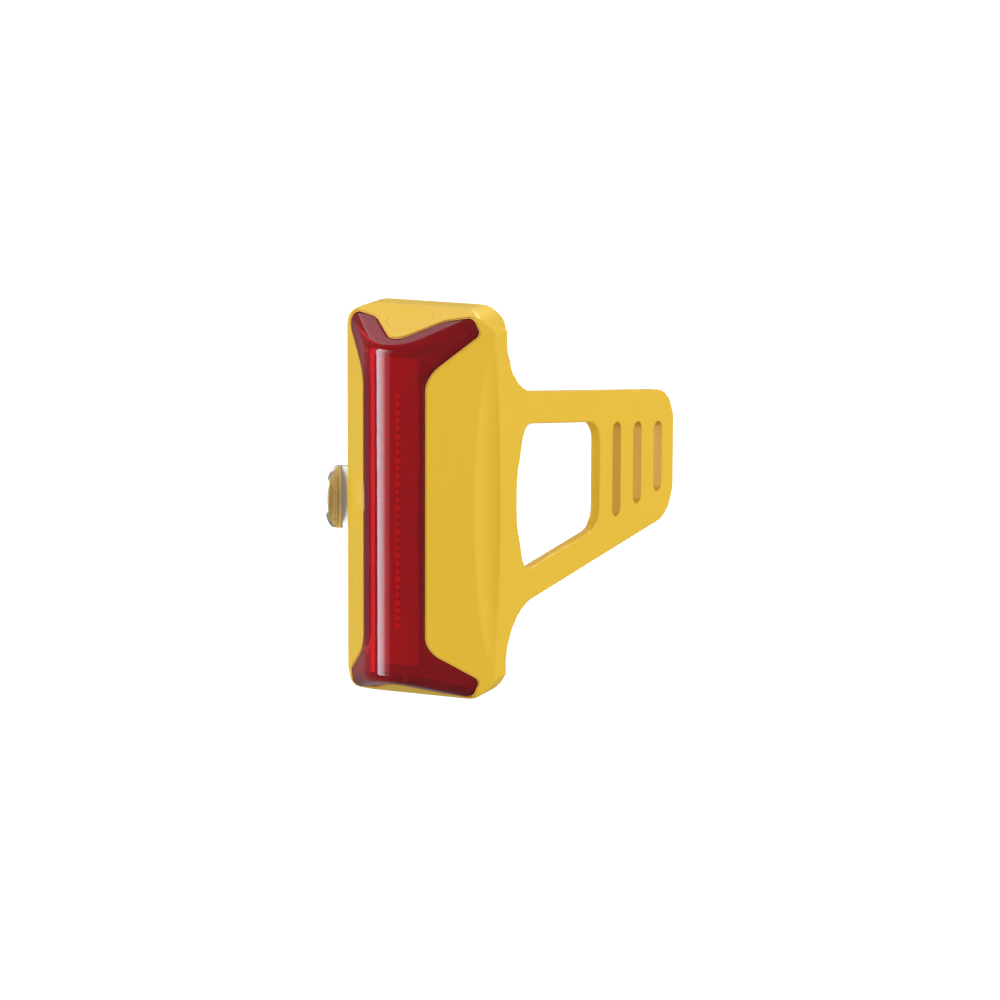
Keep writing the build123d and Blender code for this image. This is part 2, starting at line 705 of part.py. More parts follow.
def pin_boxes(grow):
    """The two square pins, or the holes that clear them."""
    half = PIN_WIDTH / 2 + grow
    z = PIN_END_ROOM - LED_BOARD_HALF
    return [
        box_between((x - half, LED_BACK_Y, z - half), (x + half, PARTING_Y, z + half)).solid()
        for x in (-PIN_SPREAD, PIN_SPREAD)
    ]


def led_pins():
    """Two power pins from the main board up to the LED board."""
    return Compound(children=pin_boxes(0))


def battery_cell():
    cell = box_between(
        (-CELL_WIDTH / 2, CELL_FRONT_Y, -CELL_LENGTH / 2),
        (CELL_WIDTH / 2, CELL_BACK_Y, CELL_LENGTH / 2),
    )
    return fillet(cell.edges().filter_by(Axis.Z), CELL_FILLET)


def battery_pad():
    half_width = CELL_WIDTH / 2 - PAD_MARGIN
    half_length = CELL_LENGTH / 2 - PAD_MARGIN
    return box_between(
        (-half_width, CARRIER_BACK_Y, -half_length), (half_width, CELL_FRONT_Y, half_length)
    )


def battery_board():
    """Protection board on the cell's upper end."""
    middle_y = (CELL_FRONT_Y + CELL_BACK_Y) / 2
    low_z = CELL_LENGTH / 2
    return box_between(
        (-CELL_BOARD_WIDTH / 2, middle_y - CELL_BOARD_THICKNESS / 2, low_z),
        (CELL_BOARD_WIDTH / 2, middle_y + CELL_BOARD_THICKNESS / 2, low_z + CELL_BOARD_LENGTH),
    )


def battery_leads():
    """Two short leads from the protection board back to the main board."""
    start_y = (CELL_FRONT_Y + CELL_BACK_Y + CELL_BOARD_THICKNESS) / 2
    z = CELL_LENGTH / 2 + CELL_BOARD_LENGTH / 2
    leads = [along_y(x, z, start_y, PARTING_Y, LEAD_RADIUS) for x in (-LEAD_SPREAD, LEAD_SPREAD)]
    return Compound(children=[lead.solid() for lead in leads])


def main_board():
    """Circuit board clamped between the front shell and the tub."""
    outline = roof_form(SKIN_INSET + TUB_WALL - BOARD_RIM + FIT, HOUSING_BACK_Y)
    board = outline & layer(PARTING_Y, BOARD_BACK_Y)
    for x, z in screw_places():
        hole = SCREW_RADIUS + SCREW_HEAD_FIT
        board -= along_y(x, z, PARTING_Y - OVERRUN, BOARD_BACK_Y + OVERRUN, hole)
    return board


def board_chips():
    chips = []
    for x, z, width, height, thickness in CHIP_PLACES:
        low = (x - width / 2, BOARD_BACK_Y, z - height / 2)
        chips.append(box_between(low, (x + width / 2, BOARD_BACK_Y + thickness, z + height / 2)))
    return Compound(children=[c.solid() for c in chips])


def socket_block(grow):
    """Solid outline of the charge socket, opened out by a clearance."""
    face = RectangleRounded(
        SOCKET_WIDTH + 2 * grow, SOCKET_HEIGHT + 2 * grow, SOCKET_RADIUS + grow
    )
    low_z = SOCKET_MOUTH_Z - (OVERRUN if grow else 0)
    high_z = SOCKET_MOUTH_Z + SOCKET_DEPTH
    return Pos(0, SOCKET_Y, low_z) * extrude(face, amount=high_z - low_z)


def charge_socket():
    """Pressed metal shell of the charge socket."""
    inside = RectangleRounded(
        SOCKET_WIDTH - 2 * SOCKET_WALL, SOCKET_HEIGHT - 2 * SOCKET_WALL, SOCKET_RADIUS - SOCKET_WALL
    )
    depth = SOCKET_DEPTH - SOCKET_BACK_PLATE
    bore = Pos(0, SOCKET_Y, SOCKET_MOUTH_Z) * extrude(inside, amount=depth)
    return socket_block(0) - bore


def charge_tongue():
    """Contact tongue inside the socket."""
    high_z = SOCKET_MOUTH_Z + SOCKET_DEPTH - SOCKET_BACK_PLATE
    return box_between(
        (-TONGUE_PLATE_WIDTH / 2, SOCKET_Y - TONGUE_PLATE_HEIGHT / 2, high_z - TONGUE_PLATE_LENGTH),
        (TONGUE_PLATE_WIDTH / 2, SOCKET_Y + TONGUE_PLATE_HEIGHT / 2, high_z),
    )


def power_button():
    """Dished silicone pad in the upper end slope."""
    plane = button_plane()
    pad = plane * extrude(Circle(BUTTON_RADIUS), amount=-BUTTON_THICKNESS)
    mouth = BUTTON_RADIUS - BUTTON_RIM
    dish = Cone(mouth - BUTTON_DISH_SLOPE, mouth, BUTTON_DISH)
    return pad - plane * Pos(0, 0, -BUTTON_DISH / 2) * dish


def key_bottom():
    """Lowest point of the key on the button's axis."""
    depth = BUTTON_THICKNESS + KEY_HEIGHT
    return button_plane().origin - button_plane().z_dir * depth


def button_key():
    """Hard key under the pad, with an arm that reaches back to the switch."""
    plane = button_plane()
    disc = plane * extrude(
        Pos(0, 0, -BUTTON_THICKNESS) * Circle(KEY_RADIUS), amount=-KEY_HEIGHT
    )
    bottom = key_bottom()
    arm = box_between(
        (-KEY_ARM_WIDTH / 2, bottom.Y, bottom.Z),
        (KEY_ARM_WIDTH / 2, PARTING_Y - KEY_ARM_TIP_GAP, bottom.Z + KEY_ARM_HEIGHT),
    )
    return disc + arm


def switch_body():
    """Side-pressed switch on the main board's front."""
    top_z = key_bottom().Z - STEM_STANDOUT
    body = box_between(
        (-SWITCH_WIDTH / 2, PARTING_Y - SWITCH_DEPTH, top_z - SWITCH_HEIGHT),
        (SWITCH_WIDTH / 2, PARTING_Y, top_z),
    )
    hole = Pos(0, PARTING_Y - SWITCH_DEPTH / 2, top_z - STEM_HOLE_DEPTH)
    hole *= extrude(Circle(STEM_RADIUS + STEM_CLEARANCE), amount=STEM_HOLE_DEPTH + FIT)
    return body - hole


def switch_stem():
    top_z = key_bottom().Z
    place = Pos(0, PARTING_Y - SWITCH_DEPTH / 2, top_z - STEM_LENGTH)
    return place * extrude(Circle(STEM_RADIUS), amount=STEM_LENGTH)


def port_flap():
    """Soft flap over the charge socket, hinged along its rear edge."""
    low_z = -BODY_HALF
    high_z = low_z + FLAP_THICKNESS
    plate = flap_recess(0) & box_between(
        (-BODY_WIDTH, BODY_BACK_Y - BODY_WIDTH, low_z), (BODY_WIDTH, FLAP_AXIS_Y, high_z)
    )
    knuckle_radius = FLAP_THICKNESS / 2
    plate -= box_between(
        (-BODY_WIDTH, FLAP_AXIS_Y - knuckle_radius, low_z - FIT),
        (BODY_WIDTH, FLAP_AXIS_Y + FIT, high_z + FIT),
    )
    place = Pos(0, FLAP_AXIS_Y - knuckle_radius, FLAP_AXIS_Z) * Rot(0, 90, 0)
    knuckle = place * Cylinder(knuckle_radius, FLAP_HINGE_WIDTH)
    plug = box_between(
        (-FLAP_PLUG_WIDTH / 2, SOCKET_Y - FLAP_PLUG_HEIGHT / 2, high_z - FIT),
        (FLAP_PLUG_WIDTH / 2, SOCKET_Y + FLAP_PLUG_HEIGHT / 2, SOCKET_MOUTH_Z + FLAP_PLUG_LENGTH),
    )
    return plate + knuckle + plug


def build_all():
    sheet = strap_sheet()
    strap_names = ("strap_legs_front", "strap_legs_rear", "strap_bar", "strap_middle", "strap_end")
    parts = {
        "silicone_sleeve": silicone_sleeve(sheet),
        "lens": lens(),
        "lens_seal": lens_seal(),
        "front_shell": front_shell(),
        "rear_housing": rear_housing(),
        "housing_seal": housing_seal(),
        "housing_screws": housing_screws(),
        "hook_plate": hook_plate(),
        "hook_screws": hook_screws(),
        "led_board": led_board(),
        "led_dies": led_dies(),
        "led_carrier": led_carrier(),
        "led_pins": led_pins(),
        "battery_cell": battery_cell(),
        "battery_pad": battery_pad(),
        "battery_board": battery_board(),
        "battery_leads": battery_leads(),
        "main_board": main_board(),
        "board_chips": board_chips(),
        "charge_socket": charge_socket(),
        "charge_tongue": charge_tongue(),
        "switch_body": switch_body(),
        "switch_stem": switch_stem(),
        "button_key": button_key(),
        "power_button": power_button(),
        "port_flap": port_flap(),
    }
    for index, name in enumerate(strap_names):
        parts[name] = strap_part(sheet, index)
    return parts


os.makedirs("parts", exist_ok=True)
for node, shape in build_all().items():
    export_step(shape, "parts/" + node + ".step")
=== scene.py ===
import json
import math

import bmesh
import bpy
from mathutils import Matrix, Vector


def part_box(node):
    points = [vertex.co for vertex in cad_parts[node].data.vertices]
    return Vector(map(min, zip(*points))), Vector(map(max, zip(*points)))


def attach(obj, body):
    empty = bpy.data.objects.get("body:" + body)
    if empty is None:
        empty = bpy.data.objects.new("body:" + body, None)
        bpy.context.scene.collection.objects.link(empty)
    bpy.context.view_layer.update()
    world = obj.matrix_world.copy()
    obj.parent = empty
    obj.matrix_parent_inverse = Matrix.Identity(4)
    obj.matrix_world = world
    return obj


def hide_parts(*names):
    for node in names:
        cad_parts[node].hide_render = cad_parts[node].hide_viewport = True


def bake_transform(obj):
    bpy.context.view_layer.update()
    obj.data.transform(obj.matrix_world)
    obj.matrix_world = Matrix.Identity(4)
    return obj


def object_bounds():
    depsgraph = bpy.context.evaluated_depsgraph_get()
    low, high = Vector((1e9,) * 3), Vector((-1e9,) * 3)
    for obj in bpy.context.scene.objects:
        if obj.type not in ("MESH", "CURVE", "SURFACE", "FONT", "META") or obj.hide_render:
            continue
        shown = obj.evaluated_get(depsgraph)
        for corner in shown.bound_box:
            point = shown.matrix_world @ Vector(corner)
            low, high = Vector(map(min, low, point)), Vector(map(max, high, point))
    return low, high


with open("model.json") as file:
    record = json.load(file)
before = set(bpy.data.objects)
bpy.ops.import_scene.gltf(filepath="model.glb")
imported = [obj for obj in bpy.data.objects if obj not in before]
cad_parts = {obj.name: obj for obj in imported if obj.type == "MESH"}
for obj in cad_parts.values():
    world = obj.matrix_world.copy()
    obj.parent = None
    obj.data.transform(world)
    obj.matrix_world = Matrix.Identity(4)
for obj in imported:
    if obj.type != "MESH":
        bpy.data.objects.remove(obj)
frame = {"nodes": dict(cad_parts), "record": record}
cad_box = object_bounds()

# Camera. It stands to the right of the lens and a little above it, and looks through
# a long lens. The light hangs left of the picture's middle.
CAMERA_AZIMUTH = 24.0
CAMERA_ELEVATION = 10.9
CAMERA_DISTANCE = 0.900
CAMERA_TARGET = Vector((0.0, -0.0272, 0.0))
CAMERA_LENS_MM = 162.0
CAMERA_SENSOR_MM = 36.0
CAMERA_SHIFT = (0.0878, 0.005)


def direction(azimuth, elevation):
    """Unit vector out from the light; azimuth 0 faces its lens, 90 its strap."""
    turn, rise = math.radians(azimuth), math.radians(elevation)
    flat = math.cos(rise)
    return Vector((math.sin(turn) * flat, -math.cos(turn) * flat, math.sin(rise)))


def aim(thing, outwards, distance):
    """Put a thing out along a direction, looking back at the light."""
    thing.location = CAMERA_TARGET + outwards * distance
    thing.rotation_euler = (-outwards).to_track_quat("-Z", "Y").to_euler()


camera = bpy.data.objects.new("camera", bpy.data.cameras.new("camera"))
bpy.context.scene.collection.objects.link(camera)
aim(camera, direction(CAMERA_AZIMUTH, CAMERA_ELEVATION), CAMERA_DISTANCE)
camera.data.lens = CAMERA_LENS_MM
camera.data.sensor_width = CAMERA_SENSOR_MM
camera.data.shift_x, camera.data.shift_y = CAMERA_SHIFT
bpy.context.scene.camera = camera
bpy.context.scene.view_settings.view_transform = "Standard"

# Studio. A painted floor in a white room that is dim in reflections. Three soft boxes
# light the object, and four cards that glow in reflections only draw the pale stripe
# down the lens and the small highlights at its ends.
FLOOR_DROP = 0.50
FLOOR_SIZE = 40.0
FLOOR_LIFT = 0.6
WORLD_SHOWN = 1.1
WORLD_SOFT = 0.70
WORLD_GLOSS = 0.20
WORLD_DARK_SIDE = 0.05
WORLD_BRIGHT_SIDE = 2.0
WORLD_DARK_UP_TO = -0.3
WORLD_BRIGHT_FROM = 0.5
SOFT_BOXES = {
    # azimuth, elevation, distance, width, height, watts
    "right_box": (112, 15, 1.3, 0.7, 1.0, 6.0),
    "low_box": (206, -26, 1.0, 0.3, 0.2, 0.22),
    "left_box": (-42, 28, 1.3, 0.6, 0.8, 5.7),
}
MIRRORED_BOX = "right_box"
CARD_DISTANCE = 0.9
CARD_PLATEAU = 0.15
CARDS = {
    # azimuth, elevation, width, height, color, glow on its left, glow on its right
    "stripe_card": (-41, 4, 0.60, 1.5, (0.72, 0.92, 1.0, 1), 11.0, 0.95),
    "front_card": (-18, 4, 0.16, 1.5, (1.0, 0.97, 0.91, 1), 0.95, 0.20),
    "roof_card": (213, 46, 0.60, 0.6, (1.0, 0.80, 0.90, 1), 0.8, 1.6),
    "corner_card": (172, 52, 0.22, 0.22, (1.0, 1.0, 0.98, 1), 40.0, 40.0),
}
NOISE_MIDDLE = 0.5
MOTTLE_DETAIL = 3.0
GRAIN_DETAIL = 2.0
ROUGHNESS_DRIFT = 0.15


def effect(name, inputs, outputs):
    """An empty node group with its inputs, its outputs and object coordinates."""
    group = bpy.data.node_groups.new(name, "ShaderNodeTree")
    for in_out, sockets in (("INPUT", inputs), ("OUTPUT", outputs)):
        for label, kind in sockets.items():
            group.interface.new_socket(label, in_out=in_out, socket_type="NodeSocket" + kind)
    nodes = group.nodes
    place = nodes.new("ShaderNodeTexCoord")
    return group, nodes.new("NodeGroupInput"), nodes.new("NodeGroupOutput"), place


def mottle_effect():
    """A colour that drifts a little lighter and darker in soft patches."""
    group, given, result, place = effect(
        "mottle", {"Color": "Color", "Spread": "Float", "Density": "Float"}, {"Color": "Color"}
    )
    noise = group.nodes.new("ShaderNodeTexNoise")
    noise.inputs["Detail"].default_value = MOTTLE_DETAIL
    centred = group.nodes.new("ShaderNodeMath")
    centred.operation = "SUBTRACT"
    centred.inputs[1].default_value = NOISE_MIDDLE
    scaled = group.nodes.new("ShaderNodeMath")
    scaled.operation = "MULTIPLY_ADD"
    scaled.inputs[2].default_value = 1.0
    shade = group.nodes.new("ShaderNodeHueSaturation")
    join = group.links.new
    join(place.outputs["Object"], noise.inputs["Vector"])
    join(given.outputs["Density"], noise.inputs["Scale"])
    join(noise.outputs["Fac"], centred.inputs[0])
    join(centred.outputs[0], scaled.inputs[0])
    join(given.outputs["Spread"], scaled.inputs[1])
    join(scaled.outputs[0], shade.inputs["Value"])
    join(given.outputs["Color"], shade.inputs["Color"])
    join(shade.outputs["Color"], result.inputs["Color"])
    return group


def grain_effect():
    """A fine moulded grain as a normal, and the same grain as a value."""
    group, given, result, place = effect(
        "grain", {"Density": "Float", "Height": "Float"}, {"Normal": "Vector", "Value": "Float"}
    )
    noise = group.nodes.new("ShaderNodeTexNoise")
    noise.inputs["Detail"].default_value = GRAIN_DETAIL
    bump = group.nodes.new("ShaderNodeBump")
    join = group.links.new
    join(place.outputs["Object"], noise.inputs["Vector"])
    join(given.outputs["Density"], noise.inputs["Scale"])
    join(noise.outputs["Fac"], bump.inputs["Height"])
    join(given.outputs["Height"], bump.inputs["Distance"])
    join(bump.outputs["Normal"], result.inputs["Normal"])
    join(noise.outputs["Fac"], result.inputs["Value"])
    return group


mottle = mottle_effect()
grain = grain_effect()


def surface(name, color, mottled, roughness, grained, **constants):
    """A material with drifting colour, a fine grain and a roughness that follows it.

    mottled is how far the colour drifts and its patches per metre, and grained is the
    grain's density per metre and its height in metres.
    """
    material = bpy.data.materials.new(name)
    material.use_nodes = True
    nodes, join = material.node_tree.nodes, material.node_tree.links.new
    shader = nodes["Principled BSDF"]
    tint = nodes.new("ShaderNodeGroup")
    tint.node_tree = mottle
    tint.inputs["Color"].default_value = (*color, 1)
    tint.inputs["Spread"].default_value, tint.inputs["Density"].default_value = mottled
    skin = nodes.new("ShaderNodeGroup")
    skin.node_tree = grain
    skin.inputs["Density"].default_value, skin.inputs["Height"].default_value = grained
    rough = nodes.new("ShaderNodeMapRange")
    rough.inputs["To Min"].default_value = roughness * (1 - ROUGHNESS_DRIFT)
    rough.inputs["To Max"].default_value = roughness * (1 + ROUGHNESS_DRIFT)
    join(tint.outputs["Color"], shader.inputs["Base Color"])
    join(skin.outputs["Normal"], shader.inputs["Normal"])
    join(skin.outputs["Value"], rough.inputs["Value"])
    join(rough.outputs["Result"], shader.inputs["Roughness"])
    for label, value in constants.items():
        shader.inputs[label.replace("_", " ")].default_value = value
    return material


def as_object(name, shape):
    """Turn a bmesh into an object of that name and free it."""
    mesh = bpy.data.meshes.new(name)
    shape.to_mesh(mesh)
    shape.free()
    piece = bpy.data.objects.new(name, mesh)
    bpy.context.scene.collection.objects.link(piece)
    return piece


def sheet(name, width, height):
    """A flat rectangle round the origin."""
    shape = bmesh.new()
    bmesh.ops.create_grid(shape, x_segments=1, y_segments=1, size=0.5)
    bmesh.ops.scale(shape, vec=(width, height, 1), verts=shape.verts)
    return as_object(name, shape)


floor = sheet("floor", FLOOR_SIZE, FLOOR_SIZE)
floor.data.transform(Matrix.Translation((0, 0, cad_box[0][2] - FLOOR_DROP)))
floor.data.materials.append(surface(
    "floor_paint", (0.93, 0.93, 0.93), mottled=(0.01, 2.0), roughness=0.9,
    grained=(200.0, 0.0001), Emission_Strength=FLOOR_LIFT,
))
floor.visible_glossy = False
floor.visible_diffuse = False

world = bpy.data.worlds.new("white_room")
world.use_nodes = True
room, join_room = world.node_tree.nodes, world.node_tree.links.new
ray = room.new("ShaderNodeLightPath")


def by_ray(kind, others, chosen):
    """A strength for one kind of ray and for the others, each a number or a socket."""
    choice = room.new("ShaderNodeMapRange")
    join_room(ray.outputs[kind], choice.inputs["Value"])
    for label, strength in (("To Min", others), ("To Max", chosen)):
        if isinstance(strength, float):
            choice.inputs[label].default_value = strength
        else:
            join_room(strength, choice.inputs[label])
    return choice.outputs["Result"]


way = room.new("ShaderNodeTexCoord")
sideways = room.new("ShaderNodeSeparateXYZ")
dark_side = room.new("ShaderNodeMapRange")
dark_side.inputs["From Min"].default_value = WORLD_DARK_UP_TO
dark_side.inputs["From Max"].default_value = WORLD_BRIGHT_FROM
dark_side.inputs["To Min"].default_value = WORLD_DARK_SIDE
dark_side.inputs["To Max"].default_value = WORLD_BRIGHT_SIDE
join_room(way.outputs["Generated"], sideways.inputs["Vector"])
join_room(sideways.outputs["X"], dark_side.inputs["Value"])
through = by_ray("Is Transmission Ray", WORLD_SOFT, dark_side.outputs["Result"])
shown = by_ray("Is Camera Ray", through, WORLD_SHOWN)
dimmed = by_ray("Is Glossy Ray", shown, WORLD_GLOSS)
room["Background"].inputs["Color"].default_value = (1, 1, 1, 1)
join_room(dimmed, room["Background"].inputs["Strength"])
bpy.context.scene.world = world

for name, (azimuth, elevation, distance, width, height, watts) in SOFT_BOXES.items():
    lamp = bpy.data.objects.new(name, bpy.data.lights.new(name, "AREA"))
    bpy.context.scene.collection.objects.link(lamp)
    lamp.data.shape = "RECTANGLE"
    lamp.data.size, lamp.data.size_y = width, height
    lamp.data.energy = watts
    aim(lamp, direction(azimuth, elevation), distance)
    lamp.visible_glossy = lamp.visible_transmission = name == MIRRORED_BOX


def glow_card(name, azimuth, elevation, width, height, color, left, right):
    """A card that glows in reflections only, fading from its left to its right."""
    card = sheet(name, width, height)
    aim(card, direction(azimuth, elevation), CARD_DISTANCE)
    glow = bpy.data.materials.new(name)
    glow.use_nodes = True
    nodes, join = glow.node_tree.nodes, glow.node_tree.links.new
    nodes.remove(nodes["Principled BSDF"])
    emit = nodes.new("ShaderNodeEmission")
    emit.inputs["Color"].default_value = color
    across = nodes.new("ShaderNodeTexCoord")
    split = nodes.new("ShaderNodeSeparateXYZ")
    fade = nodes.new("ShaderNodeMapRange")
    fade.interpolation_type = "SMOOTHSTEP"
    fade.inputs["From Min"].default_value = -width * CARD_PLATEAU
    fade.inputs["From Max"].default_value = width / 2
    fade.inputs["To Min"].default_value = left
    fade.inputs["To Max"].default_value = right
    join(across.outputs["Object"], split.inputs["Vector"])
    join(split.outputs["X"], fade.inputs["Value"])
    join(fade.outputs["Result"], emit.inputs["Strength"])
    join(emit.outputs["Emission"], nodes["Material Output"].inputs["Surface"])
    card.data.materials.append(glow)
    card.visible_camera = False
    card.visible_diffuse = False
    card.visible_shadow = False


for name, settings in CARDS.items():
    glow_card(name, *settings)

# Silicone sleeve and strap. On the real light they are one yellow moulding: a hipped
# skin round the light unit, a cradle for the post behind it, and a slotted strap.
# It is modelled in millimetres as one skin, softened, and cut where the strap bends.
MM = 0.001
REACH = 120.0  # how far a cutter runs out, well past the light
POST_RADIUS = frame["record"]["mounts"][0]["dims"]["r_mm"]
BODY_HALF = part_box("silicone_sleeve")[1].z / MM
RIM_HALF = 16.3
LENS_HALF = 6.45
FLOOR_Y = -POST_RADIUS
RIM_Y = FLOOR_Y - 9.2
EDGE_Y = RIM_Y - 13.6
BODY_BACK_Y = FLOOR_Y - 1.0
WALL_BACK_Y = RIM_Y + 4.2
END_BACK_Y = RIM_Y + 6.4
WALL_FLARE = math.radians(7.5)
BACK_SLOPE_IN = 2.6
END_BACK_IN = 1.4
END_LEAN = 5.0
CORNER_RADIUS = 7.4
RIM_RADIUS = 1.5
BACK_RADIUS = 1.2
FLANK_ANGLE = math.atan2(RIM_Y - EDGE_Y, RIM_HALF - LENS_HALF)
END_ANGLE = math.atan2(END_LEAN, RIM_Y - EDGE_Y)
CROWN_RADIUS = LENS_HALF / math.sin(FLANK_ANGLE)
CROWN_CENTRE_Y = EDGE_Y + CROWN_RADIUS * math.cos(FLANK_ANGLE)
CROWN_CORNERS = 5

# Cutters and joins: outlines of (across, up, radius) corners, run out into slabs.
SEGMENTS_PER_TURN = 96
SLAB_TURNS = {
    "X": Matrix(((0, 0, 1, 0), (1, 0, 0, 0), (0, 1, 0, 0), (0, 0, 0, 1))),
    "Y": Matrix(((1, 0, 0, 0), (0, 0, 1, 0), (0, 1, 0, 0), (0, 0, 0, 1))),
    "Z": Matrix.Identity(4),
}


def round_off(shape, parts, affect, offset, segments):
    """Round some corners or edges of a bmesh."""
    bmesh.ops.bevel(
        shape,
        geom=parts,
        offset=offset,
        offset_type="OFFSET",
        segments=segments,
        profile=0.5,
        affect=affect,
        material=-1,
    )


def flat_outline(corners, inset=0.0):
    """A flat face with its corners rounded, drawn in by an even inset."""
    shape = bmesh.new()
    face = shape.faces.new([shape.verts.new((x, y, 0)) for x, y, _ in corners])
    shape.normal_update()
    if inset:
        border = bmesh.ops.inset_region(
            shape, faces=[face], thickness=inset, use_boundary=True, use_even_offset=True
        )
        bmesh.ops.delete(shape, geom=border["faces"], context="FACES")
    points = list(face.verts)
    places = [point.co.copy() for point in points]
    for index, (point, (_, _, radius)) in enumerate(zip(points, corners)):
        if radius <= 0:
            continue
        ahead = places[(index + 1) % len(places)] - places[index]
        behind = places[index] - places[index - 1]
        turn = behind.angle(ahead)
        segments = max(2, round(SEGMENTS_PER_TURN * turn / math.tau))
        round_off(shape, [point], "VERTICES", radius * math.tan(turn / 2), segments)
    return shape


def slab(name, corners, axis, low, high, inset=0.0):
    """An outline extruded along an axis from one station to another."""
    shape = flat_outline(corners, inset)
    bmesh.ops.translate(shape, verts=shape.verts, vec=(0, 0, low))
    far = bmesh.ops.extrude_face_region(shape, geom=shape.faces[:])
    moved = [part for part in far["geom"] if isinstance(part, bmesh.types.BMVert)]
    bmesh.ops.translate(shape, verts=moved, vec=(0, 0, high - low))
    bmesh.ops.transform(shape, matrix=SLAB_TURNS[axis], verts=shape.verts)
    bmesh.ops.recalc_face_normals(shape, faces=shape.faces)
    return as_object(name, shape)


def block(name, low, high):
    """A cutter from its lowest to its highest corner."""
    corners = [(low[0], low[1]), (high[0], low[1]), (high[0], high[1]), (low[0], high[1])]
    return slab(name, [(x, y, 0) for x, y in corners], "Z", low[2], high[2])


def round_bar(name, radius, length, place):
    """A round cutter, centred and then put in place by a matrix."""
    shape = bmesh.new()
    bmesh.ops.create_cone(
        shape,
        cap_ends=True,
        segments=SEGMENTS_PER_TURN,
        radius1=radius,
        radius2=radius,
        depth=length,
        matrix=place,
    )
    return as_object(name, shape)


def mirrored(corners):
    """An outline's right half followed by its left half."""
    return corners + [(-x, y, radius) for x, y, radius in reversed(corners) if x]


def apply_changes(piece):
    """Put the result of a piece's modifiers into its mesh."""
    bpy.context.view_layer.update()
    graph = bpy.context.evaluated_depsgraph_get()
    result = bpy.data.meshes.new_from_object(piece.evaluated_get(graph))
    piece.modifiers.clear()
    piece.data = result
    result.name = piece.name


def combine(piece, operation, tool, **options):
    """Cut a piece with a tool, keep what they share, or join them."""
    change = piece.modifiers.new("combine", "BOOLEAN")
    change.operation = operation
    change.solver = "EXACT"
    change.object = tool
    for label, value in options.items():
        setattr(change, label, value)
    apply_changes(piece)
    bpy.data.objects.remove(tool)
    return piece


# The body's form. Sleeve, lens and hollow share it, each with its own inset.
SCOOP_RADIUS = 8.0
SCOOP_HALF_SPAN = 31.0
SCOOP_FRONT_SETBACK = 4.75
SCOOP_BACK_SETBACK = 2.1
SCOOP_OVERRUN = 1.6
SCOOP_STEPS = 40
HIP_OFFSET = 1.6
HIP_SHARE = 0.75  # how much of an inset comes off the hips' rounding
HIP_DEEPEST = 1.0  # forms with a larger inset keep sharp hips
HIP_SEGMENTS = 8
END_SLOPE_TILT = 0.9
OUTER_FACE_TILT = -0.3
ROOF_HALF = 40.0
ROOF_CLEAR = 0.004


def wall_x(y):
    """Half the sleeve's width across its side walls at a station y."""
    return RIM_HALF + (y - RIM_Y) * math.tan(WALL_FLARE)


def scoop(radius):
    """Part of a wide ring whose tube hollows the rim on the strap's side."""
    front = Vector((
        RIM_HALF - SCOOP_FRONT_SETBACK * math.cos(FLANK_ANGLE),
        RIM_Y - SCOOP_FRONT_SETBACK * math.sin(FLANK_ANGLE),
        0,
    ))
    back = Vector((wall_x(RIM_Y + SCOOP_BACK_SETBACK), RIM_Y + SCOOP_BACK_SETBACK, 0))
    chord = back - front
    outward = Vector((chord.y, -chord.x, 0)).normalized()
    stand_off = math.sqrt(SCOOP_RADIUS ** 2 - (chord.length / 2) ** 2)
    tube = (front + back) / 2 + outward * stand_off
    depth = SCOOP_RADIUS - (Vector((RIM_HALF, RIM_Y, 0)) - tube).length
    ring_radius = (SCOOP_HALF_SPAN ** 2 + depth ** 2) / (2 * depth)
    span = SCOOP_OVERRUN * SCOOP_HALF_SPAN / ring_radius
    axis = outward.cross(Vector((0, 0, 1)))
    shape = bmesh.new()
    bmesh.ops.create_circle(shape, cap_ends=False, radius=radius, segments=SEGMENTS_PER_TURN)
    bmesh.ops.translate(shape, verts=shape.verts, vec=tube)
    centre = tube + outward * ring_radius
    start = Matrix.Rotation(-span, 3, axis)
    bmesh.ops.rotate(shape, cent=centre, matrix=start, verts=shape.verts)
    bmesh.ops.spin(
        shape, geom=shape.edges[:], cent=centre, axis=axis, angle=2 * span, steps=SCOOP_STEPS
    )
    bmesh.ops.holes_fill(shape, edges=shape.edges)
    bmesh.ops.recalc_face_normals(shape, faces=shape.faces)
    return as_object("scoop", shape)


def crown(inset):
    """The plan's rounded ridge, from the flank to the middle, as sharp corners."""
    corners = []
    step = 2 * FLANK_ANGLE / CROWN_CORNERS
    out = CROWN_RADIUS / math.cos(step / 2)
    for index in range(CROWN_CORNERS // 2 + 1):
        turn = FLANK_ANGLE - step * (index + 0.5)
        across = out * math.sin(turn) if index < CROWN_CORNERS // 2 else 0
        corners.append((across, CROWN_CENTRE_Y - out * math.cos(turn), CROWN_RADIUS - inset))
    return corners


def end_slope(face):
    """Whether a face belongs to the slope at the top or at the bottom."""
    return abs(face.normal.z) > END_SLOPE_TILT


def round_hips(form, offset):
    """Round the edges between the end slopes and the faces that look forward."""
    shape = bmesh.new()
    shape.from_mesh(form.data)
    shape.normal_update()
    hips = [
        edge
        for edge in shape.edges
        if len(edge.link_faces) == 2
        and end_slope(edge.link_faces[0]) != end_slope(edge.link_faces[1])
        and all(face.normal.y < OUTER_FACE_TILT for face in edge.link_faces)
    ]
    round_off(shape, hips, "EDGES", offset, HIP_SEGMENTS)
    shape.to_mesh(form.data)
    shape.free()


